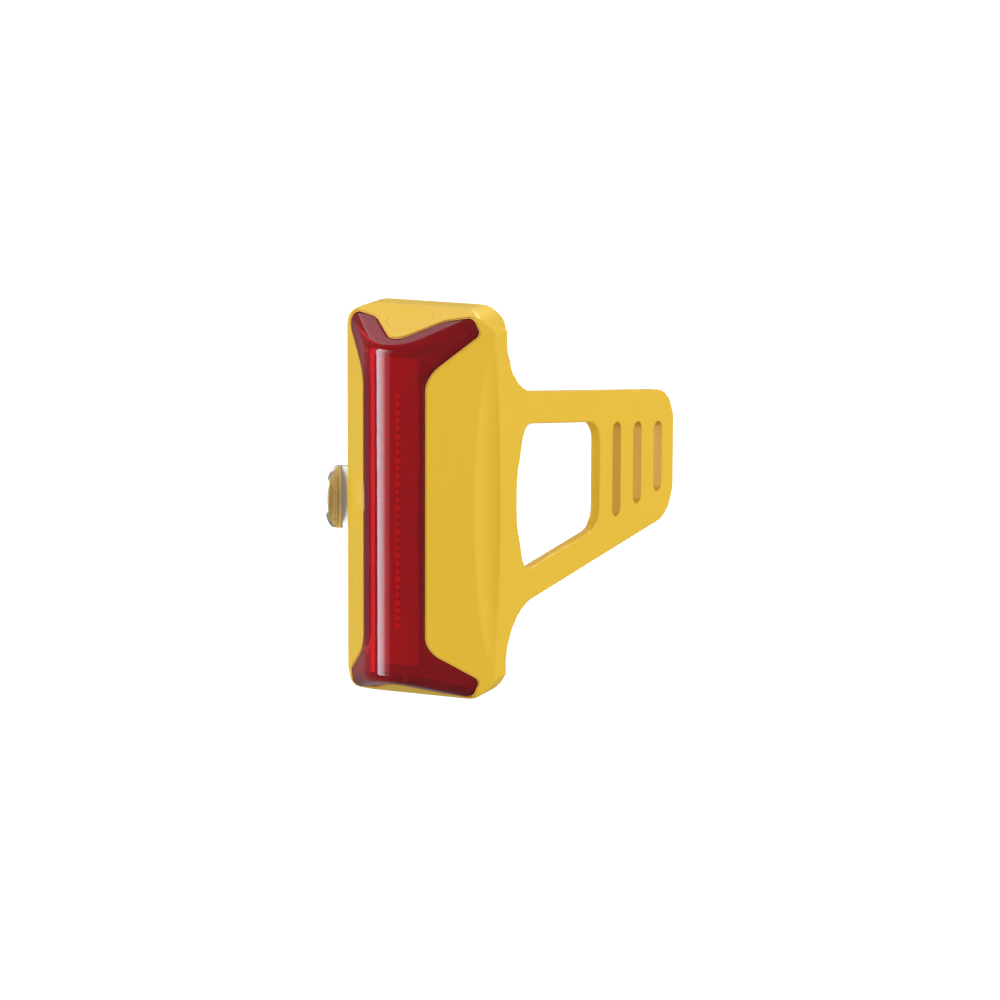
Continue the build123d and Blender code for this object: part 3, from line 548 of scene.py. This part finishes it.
def roof(inset):
    """The flanks, ridge and end slopes run on past the rim, with their hips rounded."""
    rear = RIM_Y + (ROOF_HALF - RIM_HALF) * math.tan(FLANK_ANGLE)
    far_end = BODY_HALF + (rear - RIM_Y) * math.tan(END_ANGLE)
    near_end = BODY_HALF - (RIM_Y - EDGE_Y + CROWN_RADIUS) * math.tan(END_ANGLE)
    side = [(rear, far_end, 0), (EDGE_Y - CROWN_RADIUS, near_end, 0)]
    side += [(y, -z, radius) for y, z, radius in reversed(side)]
    drawn_in = inset - ROOF_CLEAR
    plan = mirrored([(ROOF_HALF, rear, 0)] + crown(drawn_in))
    form = slab("roof", plan, "Z", -REACH, REACH, drawn_in)
    combine(form, "INTERSECT", slab("roof_side", side, "X", -REACH, REACH, drawn_in))
    round_hips(form, HIP_OFFSET - inset * HIP_SHARE)
    return form


def body_form(name, inset, back_y):
    """The light's hipped form: plan, end view and front view, all drawn in alike."""
    rear = back_y + inset
    slope_in = BACK_SLOPE_IN * (rear - WALL_BACK_Y) / (BODY_BACK_Y - WALL_BACK_Y)
    soft = 1.0 if inset == 0 else 0.0
    plan = [
        (wall_x(WALL_BACK_Y) - slope_in, rear, 0),
        (wall_x(WALL_BACK_Y), WALL_BACK_Y, BACK_RADIUS * soft),
        (RIM_HALF, RIM_Y, RIM_RADIUS * soft),
    ]
    plan += crown(inset)
    lean = (RIM_Y - EDGE_Y + CROWN_RADIUS) * math.tan(END_ANGLE)
    end_in = END_BACK_IN * (rear - END_BACK_Y) / (BODY_BACK_Y - END_BACK_Y)
    side = [
        (rear, BODY_HALF - end_in, 0),
        (END_BACK_Y, BODY_HALF, BACK_RADIUS * soft),
        (RIM_Y, BODY_HALF, RIM_RADIUS * soft),
        (EDGE_Y - CROWN_RADIUS, BODY_HALF - lean, 0),
    ]
    side += [(y, -z, radius) for y, z, radius in reversed(side)]
    half = wall_x(WALL_BACK_Y)
    corner = CORNER_RADIUS - inset
    front = [(half, -BODY_HALF, corner), (half, BODY_HALF, corner)]
    form = slab(name, mirrored(plan), "Z", -REACH, REACH, inset)
    combine(form, "INTERSECT", slab("side_view", side, "X", -REACH, REACH, inset))
    if inset < HIP_DEEPEST:
        combine(form, "INTERSECT", roof(inset), solver="MANIFOLD")
    combine(form, "INTERSECT", slab("front_view", mirrored(front), "Y", -REACH, REACH, inset))
    return combine(form, "DIFFERENCE", scoop(SCOOP_RADIUS + inset))


# The strap, flat in its own plane, which leans out with the side wall from the rim.
STRAP_THICKNESS = 2.3
STRAP_LENGTH = 74.7
STRAP_ROOT = 1.5
ROOT_HALF = 35.4
FLARE_START = 5.1
FLARE_RUN = 4.5
FLARE_HALF = 22.75
FLARE_RADIUS = 12.0
END_HALF = 13.3
END_RADIUS = 7.5
STRAP_MARGIN = 6.7
WINDOW_START = 8.6
WINDOW_BOW = 3.2
WINDOW_BOW_SHARE = 0.3
WINDOW_END = 42.5
WINDOW_RADIUS = 4.5
WINDOW_FRONT_RADIUS = 3.2
CUTTER_HALF = 12.0
strap_plane = Matrix.Translation((RIM_HALF, RIM_Y, 0)) @ Matrix((
    (math.sin(WALL_FLARE), 0, math.cos(WALL_FLARE), 0),
    (math.cos(WALL_FLARE), 0, -math.sin(WALL_FLARE), 0),
    (0, 1, 0, 0),
    (0, 0, 0, 1),
))


def strap_half(run):
    """Half the strap's height at a distance along it from the rim."""
    share = (run - FLARE_START) / (STRAP_LENGTH - FLARE_START)
    return FLARE_HALF + share * (END_HALF - FLARE_HALF)


def strap_slab(name, corners, low, high):
    """An outline in the strap's own plane, mirrored about its middle line."""
    outline = corners + [(run, -height, radius) for run, height, radius in reversed(corners)]
    piece = slab(name, outline, "Z", low, high)
    piece.data.transform(strap_plane)
    return piece


def strap_sheet():
    """The flat strap with its flared root and its window."""
    outline = [
        (STRAP_ROOT, ROOT_HALF, 0),
        (FLARE_RUN, ROOT_HALF, 0),
        (FLARE_RUN, FLARE_HALF, FLARE_RADIUS),
        (STRAP_LENGTH, END_HALF, END_RADIUS),
    ]
    strap = strap_slab("strap_sheet", outline, -STRAP_THICKNESS, 0)
    start = WINDOW_START + WINDOW_BOW
    front_half = strap_half(start) - STRAP_MARGIN
    bow_radius = (WINDOW_BOW ** 2 + front_half ** 2) / (2 * WINDOW_BOW)
    window = [
        (WINDOW_START, front_half * WINDOW_BOW_SHARE, bow_radius / 2),
        (start, front_half, WINDOW_FRONT_RADIUS),
        (WINDOW_END, strap_half(WINDOW_END) - STRAP_MARGIN, WINDOW_RADIUS),
    ]
    combine(strap, "DIFFERENCE", strap_slab("window", window, -CUTTER_HALF, CUTTER_HALF))
    return combine(strap, "DIFFERENCE", scoop(SCOOP_RADIUS))


# The back: two horns that cradle the post, and corners rounder than the front's.
SADDLE_HALF = 30.0
SADDLE_DEPTH = 6.6
SADDLE_FRONT = 2.0
HORN_TIP_WALL = 1.4
HORN_ROOT_RADIUS = 2.0
HORN_TIP_RADIUS = 0.6
HORN_END_RADIUS = 6.5
CORNER_BACK_RADIUS = 11.0
CORNER_FRONT_Y = -60.0
CORNER_FRONT_GROWTH = 1.45


def saddle():
    """The two horns behind the light that cradle the post."""
    tip_y = FLOOR_Y + SADDLE_DEPTH
    tip_x = math.sqrt(POST_RADIUS ** 2 - tip_y ** 2) + HORN_TIP_WALL
    root_x = wall_x(WALL_BACK_Y) - BACK_SLOPE_IN
    right = [
        (root_x, RIM_Y + SADDLE_FRONT, 0),
        (root_x, BODY_BACK_Y, HORN_ROOT_RADIUS),
        (tip_x, tip_y, HORN_TIP_RADIUS),
    ]
    horns = slab("saddle", mirrored(right), "Z", -SADDLE_HALF, SADDLE_HALF)
    side = [
        (RIM_Y, -SADDLE_HALF, 0),
        (tip_y, -SADDLE_HALF, HORN_END_RADIUS),
        (tip_y, SADDLE_HALF, HORN_END_RADIUS),
        (RIM_Y, SADDLE_HALF, 0),
    ]
    return combine(horns, "INTERSECT", slab("horn_ends", side, "X", -REACH, REACH))


def back_corners():
    """The front view with rounder corners, opening out towards the front."""
    half = wall_x(WALL_BACK_Y)
    view = [(half, -BODY_HALF, CORNER_BACK_RADIUS), (half, BODY_HALF, CORNER_BACK_RADIUS)]
    form = slab("back_corners", mirrored(view), "Y", CORNER_FRONT_Y, BODY_BACK_Y + SADDLE_FRONT)
    for point in form.data.vertices:
        if point.co.y < RIM_Y:
            point.co.x *= CORNER_FRONT_GROWTH
            point.co.z *= CORNER_FRONT_GROWTH
    return form


# The moulding as one solid skin, softened all over.
SKIN_VOXEL = 0.25
SKIN_SMOOTHING = 8
SKIN_MELT = 0.5
SKIN_SHARE_KEPT = 0.30

silicone = body_form("silicone_sleeve_skin", 0, BODY_BACK_Y)
combine(silicone, "INTERSECT", back_corners())
combine(silicone, "UNION", saddle())
combine(silicone, "UNION", strap_sheet())
combine(silicone, "DIFFERENCE", round_bar("post", POST_RADIUS, REACH, Matrix.Identity(4)))
soften = silicone.modifiers.new("soften", "REMESH")
soften.mode = "VOXEL"
soften.voxel_size = SKIN_VOXEL
melt = silicone.modifiers.new("melt", "SMOOTH")
melt.factor = SKIN_MELT
melt.iterations = SKIN_SMOOTHING
thin_out = silicone.modifiers.new("thin_out", "DECIMATE")
thin_out.ratio = SKIN_SHARE_KEPT
thin_out.use_collapse_triangulate = True
apply_changes(silicone)

# The softening would fill the hollow in, so it is cut afterwards. So are the openings,
# which stay crisp: the lens opening with its thin stepped lip, the strap's slots, the
# button's hole, the flap's recess and the hook's slot.
SLEEVE_WALL = 1.6
INSIDE_BACK_Y = FLOOR_Y - 1.5
LENS_GAP = 0.15
LENS_CORNERS = [
    # across, up, radius
    (LENS_HALF, 27.6, 6.3),
    (13.9, 35.1, 1.6),
    (12.9, 38.3, 1.6),
    (7.4, 37.5, 8.0),
]
LENS_VALLEY = (0, 34.1, 5.0)
LIP_WIDTH = 0.30
LIP_DEPTH = 0.22
LIP_CLEAR = 0.3
SLOT_RUNS = (49.7, 58.65, 67.6)
SLOT_WIDTH = 3.6
SLOT_SLACK = 0.01
BUTTON_CENTRE_Y = EDGE_Y + 8.3
PAD_RADIUS = 4.7
PAD_GAP = 0.04
HOLE_DEPTH = 8.0
HOLE_RAISE = 2.0
RECESS_GROW = 0.3
RECESS_DEPTH = 1.6
HOOK_THICKNESS = 0.8
HOOK_SLOT_GROW = 0.15
HOOK_SLOT_REACH = 30.0
SLEEVE_SHARP_ANGLE = 38
CUT_PAINTED_LIGHT = {
    # each cut's walls, thinnest to deepest: painted highlight on the lip, painted shade in
    # slots and opening
    "lip": (1.0, 0.62, 0.14),
    "slot": (0.66, 0.36, 0.014),
    "opening": (0.16, 0.07, 0.006),
}


def lens_slab(name, low, high, grow=0.0):
    """The lens's dog-bone outline, seen from the front, run front to back."""
    half = LENS_CORNERS + [LENS_VALLEY]
    upper = half + [(-x, z, radius) for x, z, radius in reversed(LENS_CORNERS)]
    lower = [(-x, -z, radius) for x, z, radius in upper]
    return slab(name, upper + lower, "Y", low, high, inset=-grow)


def coat(piece, material):
    """Give a piece one material all over."""
    piece.data.materials.clear()
    piece.data.materials.append(material)


def smooth_shade(piece, sharp_angle):
    """Shade a piece smooth, with edges kept sharp where they turn more than an angle."""
    for polygon in piece.data.polygons:
        polygon.use_smooth = True
    piece.data.set_sharp_from_angle(angle=math.radians(sharp_angle))


combine(silicone, "DIFFERENCE", body_form("inside", SLEEVE_WALL, INSIDE_BACK_Y))

# These cutters mark the walls that they cut, where the colour lays a painted highlight on the
# lip and painted shade in the slots and the opening.
marks = {kind: bpy.data.materials.new(kind) for kind in CUT_PAINTED_LIGHT}
coat(silicone, bpy.data.materials.new("outer"))
lip = body_form("lip", -LIP_CLEAR, BODY_BACK_Y)
combine(lip, "INTERSECT", lens_slab("lip_outline", -REACH, RIM_Y, LENS_GAP + LIP_WIDTH))
combine(lip, "DIFFERENCE", body_form("lip_floor", LIP_DEPTH, BODY_BACK_Y))
marked_cutters = [("lip", lip)]
for run in SLOT_RUNS:
    half, round_end = strap_half(run) - STRAP_MARGIN, SLOT_WIDTH / 2 - SLOT_SLACK
    outline = [(run - SLOT_WIDTH / 2, half, round_end), (run + SLOT_WIDTH / 2, half, round_end)]
    marked_cutters.append(("slot", strap_slab("slot", outline, -CUTTER_HALF, CUTTER_HALF)))
marked_cutters.append(("opening", lens_slab("opening", -REACH, RIM_Y, LENS_GAP)))
for kind, cutter in marked_cutters:
    coat(cutter, marks[kind])
    combine(silicone, "DIFFERENCE", cutter, material_mode="TRANSFER")
# The marks become the attribute cut, which the colour reads for the painted highlight and
# painted shade.
cut_kinds = [float(polygon.material_index) for polygon in silicone.data.polygons]
silicone.data.attributes.new("cut", "FLOAT", "FACE").data.foreach_set("value", cut_kinds)
silicone.data.polygons.foreach_set("material_index", [0] * len(cut_kinds))

button_place = Matrix.Translation((
    0, BUTTON_CENTRE_Y, BODY_HALF - (RIM_Y - BUTTON_CENTRE_Y) * math.tan(END_ANGLE)
)) @ Matrix.Rotation(END_ANGLE, 4, "X")
hole_place = button_place @ Matrix.Translation((0, 0, HOLE_RAISE))
flap_low, flap_high = (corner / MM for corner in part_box("port_flap"))
hook_low, hook_high = (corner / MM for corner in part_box("hook_plate"))
for cutter in (
    round_bar("button_hole", PAD_RADIUS + PAD_GAP, HOLE_DEPTH, hole_place),
    block(
        "flap_recess",
        (flap_low.x - RECESS_GROW, flap_low.y - RECESS_GROW, -BODY_HALF - RECESS_DEPTH),
        (flap_high.x + RECESS_GROW, flap_high.y + RECESS_GROW, -BODY_HALF + RECESS_DEPTH),
    ),
    block(
        "hook_slot",
        (
            -HOOK_SLOT_REACH,
            hook_high.y - HOOK_THICKNESS - HOOK_SLOT_GROW,
            hook_low.z - HOOK_SLOT_GROW,
        ),
        (0, hook_high.y + HOOK_SLOT_GROW, hook_high.z + HOOK_SLOT_GROW),
    ),
):
    combine(silicone, "DIFFERENCE", cutter)
smooth_shade(silicone, SLEEVE_SHARP_ANGLE)
silicone.data.transform(Matrix.Scale(MM, 4))

yellow = surface(
    "yellow_silicone", (0.89, 0.565, 0.030), mottled=(0.05, 45.0), roughness=0.42,
    grained=(2600.0, 0.000012), Subsurface_Weight=0.10, Subsurface_Scale=0.0010,
    Specular_IOR_Level=0.28,
)
yellow_nodes, join_yellow = yellow.node_tree.nodes, yellow.node_tree.links.new
yellow_base = yellow_nodes["Principled BSDF"].inputs["Base Color"]
# The attribute cut mixes in the painted highlight on the lip and the painted shade in the slots
# and on the opening's walls.
cut = yellow_nodes.new("ShaderNodeAttribute")
cut.attribute_name = "cut"
latest = yellow_base.links[0].from_socket
for index, tint in enumerate(CUT_PAINTED_LIGHT.values()):
    reached = yellow_nodes.new("ShaderNodeMath")
    reached.operation = "SUBTRACT"
    reached.inputs[1].default_value = index
    join_yellow(cut.outputs["Fac"], reached.inputs[0])
    blend = yellow_nodes.new("ShaderNodeMix")
    blend.data_type = "RGBA"
    color_inputs = [socket for socket in blend.inputs if socket.type == "RGBA"]
    color_inputs[1].default_value = (*tint, 1)
    join_yellow(reached.outputs[0], blend.inputs["Factor"])
    join_yellow(latest, color_inputs[0])
    latest = next(socket for socket in blend.outputs if socket.type == "RGBA")
join_yellow(latest, yellow_base)
coat(silicone, yellow)

# The strap's links. Each is a copy of the skin between two seams, shown in place of its CAD
# node.
STRAP_SEAMS = (21.5, 31.45, 40.55, 49.65, 58.75)
STRAP_NODES = ("strap_legs_front", "strap_legs_rear", "strap_bar", "strap_middle", "strap_end")
strap_place = Matrix.Scale(MM, 4) @ strap_plane
strap_along = (strap_place.to_3x3() @ Vector((1, 0, 0))).normalized()


def strap_cut(piece, run, keep_beyond):
    """Cut a piece square across the strap and close the cut."""
    shape = bmesh.new()
    shape.from_mesh(piece.data)
    parted = bmesh.ops.bisect_plane(
        shape,
        geom=shape.verts[:] + shape.edges[:] + shape.faces[:],
        plane_co=strap_place @ Vector((run, 0, 0)),
        plane_no=strap_along,
        clear_outer=not keep_beyond,
        clear_inner=keep_beyond,
    )
    rims = [part for part in parted["geom_cut"] if isinstance(part, bmesh.types.BMEdge)]
    caps = bmesh.ops.holes_fill(shape, edges=rims)
    for rim in rims:
        rim.smooth = False
    bmesh.ops.triangulate(shape, faces=caps["faces"])
    shape.to_mesh(piece.data)
    shape.free()


for index, node in enumerate(STRAP_NODES):
    skin = silicone.copy()
    skin.data = silicone.data.copy()
    skin.name = skin.data.name = node + "_skin"
    bpy.context.scene.collection.objects.link(skin)
    strap_cut(skin, STRAP_SEAMS[index], keep_beyond=True)
    if index + 1 < len(STRAP_SEAMS):
        strap_cut(skin, STRAP_SEAMS[index + 1], keep_beyond=False)
    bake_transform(skin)
    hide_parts(node)
strap_cut(silicone, STRAP_SEAMS[0], keep_beyond=False)
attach(silicone, "light_body")
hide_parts("silicone_sleeve")

# Lens. One red transparent moulding that wraps the ridge and runs out along the four
# hips. Its outer face is polished, its hips are rounded, and it is hollow behind.
LENS_WALL = 2.2
LENS_SHARP_ANGLE = 25
lens = body_form("lens_skin", 0, BODY_BACK_Y)
combine(lens, "INTERSECT", lens_slab("lens_front_view", -REACH, RIM_Y))
combine(lens, "DIFFERENCE", body_form("lens_inside", LENS_WALL, BODY_BACK_Y))
lens.data.transform(Matrix.Scale(MM, 4))
smooth_shade(lens, LENS_SHARP_ANGLE)
flat_first = lens.modifiers.new("flat_first", "WEIGHTED_NORMAL")
flat_first.keep_sharp = True
red = surface(
    "red_lens", (0.76, 0.013, 0.028), mottled=(0.04, 30.0), roughness=0.035,
    grained=(900.0, 0.0000008), Transmission_Weight=0.78, IOR=1.49,
)
coat(lens, red)
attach(lens, "light_body")
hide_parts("lens")

# Power button. A round pad of the same silicone, pressed in with a thumb: a shallow
# dish with a small raised ring in it, level with the sleeve all round.
PAD_THICKNESS = 0.7
PAD_DISH = 0.62
PAD_DISH_POWER = 2.4
PAD_RINGS = 44
PAD_SHARP_ANGLE = 50
RING_RADIUS = 1.35
RING_HALF_WIDTH = 0.17
RING_HEIGHT = 0.32
RING_OFFSET = (0.45, 1.0)
pad_shape = bmesh.new()
bmesh.ops.create_circle(
    pad_shape, cap_ends=True, radius=PAD_RADIUS, segments=SEGMENTS_PER_TURN
)
pad_face = pad_shape.faces[:]
for _ in range(PAD_RINGS - 1):
    bmesh.ops.inset_region(
        pad_shape, faces=pad_face, thickness=PAD_RADIUS / PAD_RINGS, use_even_offset=True
    )
bmesh.ops.poke(pad_shape, faces=pad_face)
down = bmesh.ops.extrude_face_region(pad_shape, geom=pad_shape.faces[:], use_keep_orig=True)
lowered = {part for part in down["geom"] if isinstance(part, bmesh.types.BMVert)}
for point in pad_shape.verts:
    if point in lowered:
        point.co.z = -PAD_THICKNESS
        continue
    share = min(1.0, point.co.xy.length / PAD_RADIUS)
    from_ring = (point.co.xy - Vector(RING_OFFSET)).length - RING_RADIUS
    bead = math.exp(-((from_ring / RING_HALF_WIDTH) ** 2))
    point.co.z = -PAD_DISH * (1 - share ** PAD_DISH_POWER) + RING_HEIGHT * bead
bmesh.ops.recalc_face_normals(pad_shape, faces=pad_shape.faces)
bmesh.ops.transform(
    pad_shape, matrix=Matrix.Scale(MM, 4) @ button_place, verts=pad_shape.verts
)
pad = as_object("power_button_pad", pad_shape)
smooth_shade(pad, PAD_SHARP_ANGLE)
coat(pad, yellow)
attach(pad, "button")
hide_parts("power_button")

# Port flap. A soft plug-in flap of the same silicone over the charge socket, with its
# edges rounded as they leave the mould.
FLAP_ROUNDING = 0.00022
MERGE_DISTANCE = 0.000002
FLAT_WITHIN = math.radians(1)
ROUND_OVER = math.radians(30)
ROUNDING_SEGMENTS = 3
ROUNDED_SHARP_ANGLE = 35


def soft_copy(name, node, rounding_width):
    """A CAD node's mesh, merged, with its sharp edges rounded."""
    shape = bmesh.new()
    shape.from_mesh(frame["nodes"][node].data)
    bmesh.ops.remove_doubles(shape, verts=shape.verts, dist=MERGE_DISTANCE)
    bmesh.ops.dissolve_limit(
        shape, angle_limit=FLAT_WITHIN, verts=shape.verts, edges=shape.edges
    )
    piece = as_object(name, shape)
    rounding = piece.modifiers.new("rounding", "BEVEL")
    rounding.width = rounding_width
    rounding.segments = ROUNDING_SEGMENTS
    rounding.limit_method = "ANGLE"
    rounding.angle_limit = ROUND_OVER
    rounding.harden_normals = False
    apply_changes(piece)
    smooth_shade(piece, ROUNDED_SHARP_ANGLE)
    return piece


flap = soft_copy("port_flap_skin", "port_flap", FLAP_ROUNDING)
coat(flap, yellow)
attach(flap, "flap")
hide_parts("port_flap")

# Hook. Pressed from polished steel plate, with its edges broken, so that a strap slot
# can drop over its tongue.
HOOK_ROUNDING = 0.00016
hook = soft_copy("hook_plate_polished", "hook_plate", HOOK_ROUNDING)
steel = surface(
    "hook_steel", (0.86, 0.82, 0.77), mottled=(0.05, 90.0), roughness=0.20,
    grained=(1500.0, 0.000001), Metallic=0.8,
)
coat(hook, steel)
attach(hook, "light_body")
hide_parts("hook_plate")


# Hard shells and gaskets. The front shell is moulded in grey plastic and the housing
# behind it in black, both with a fine spark-eroded grain. A red rubber gasket lies
# under the lens, and a black one between the shells.
def paint(nodes, material):
    """Give CAD nodes that are shown as they are a better material."""
    for node in nodes:
        for place in frame["nodes"][node].material_slots:
            place.material = material


black = surface(
    "black_plastic", (0.012, 0.010, 0.011), mottled=(0.25, 80.0), roughness=0.38,
    grained=(2200.0, 0.00001),
)
rubber = surface(
    "seal_rubber", (0.02, 0.018, 0.018), mottled=(0.2, 120.0), roughness=0.7,
    grained=(3000.0, 0.00002),
)
shell_grey = surface(
    "shell_plastic", (0.30, 0.26, 0.26), mottled=(0.15, 80.0), roughness=0.4,
    grained=(2200.0, 0.00001),
)
red_rubber = surface(
    "red_rubber", (0.42, 0.03, 0.03), mottled=(0.1, 120.0), roughness=0.6,
    grained=(3000.0, 0.00002),
)
paint(["front_shell"], shell_grey)
paint(["rear_housing", "charge_tongue", "switch_body"], black)
paint(["lens_seal"], red_rubber)
paint(["housing_seal"], rubber)

# Light engine. A red board on a dark moulded rail, with a row of small LED packages
# whose faces are moulded in a tinted resin.
board_red = surface(
    "red_board", (0.42, 0.030, 0.032), mottled=(0.15, 260.0), roughness=0.35,
    grained=(1800.0, 0.000006),
)
package = surface(
    "led_phosphor", (0.95, 0.45, 0.40), mottled=(0.2, 900.0), roughness=0.25,
    grained=(4000.0, 0.000004),
)
rail = surface(
    "grey_plastic", (0.10, 0.09, 0.09), mottled=(0.08, 90.0), roughness=0.5,
    grained=(2400.0, 0.00001),
)
paint(["led_board"], board_red)
paint(["led_dies"], package)
paint(["led_carrier", "button_key", "switch_stem"], rail)

# Electronics. Green boards with black packages, a foil cell on foam, plated pins and
# leads, and a pressed steel socket. All of it hides behind the shells.
green = surface(
    "green_board", (0.02, 0.16, 0.06), mottled=(0.2, 300.0), roughness=0.35,
    grained=(1500.0, 0.000008),
)
chip = surface(
    "chip_plastic", (0.02, 0.02, 0.022), mottled=(0.2, 500.0), roughness=0.55,
    grained=(5000.0, 0.000006),
)
foil = surface(
    "cell_foil", (0.72, 0.72, 0.75), mottled=(0.1, 70.0), roughness=0.3,
    grained=(500.0, 0.00004), Metallic=0.9,
)
foam = surface(
    "foam", (0.12, 0.12, 0.13), mottled=(0.35, 900.0), roughness=0.9,
    grained=(1800.0, 0.0001),
)
brass = surface(
    "pin_brass", (0.85, 0.62, 0.28), mottled=(0.08, 200.0), roughness=0.25,
    grained=(1500.0, 0.000004), Metallic=1.0,
)
plated = surface(
    "screw_steel", (0.62, 0.62, 0.63), mottled=(0.08, 250.0), roughness=0.28,
    grained=(2500.0, 0.000005), Metallic=1.0,
)
paint(["main_board", "battery_board"], green)
paint(["board_chips"], chip)
paint(["battery_cell"], foil)
paint(["battery_pad"], foam)
paint(["led_pins", "battery_leads"], brass)
paint(["housing_screws", "hook_screws", "charge_socket"], plated)
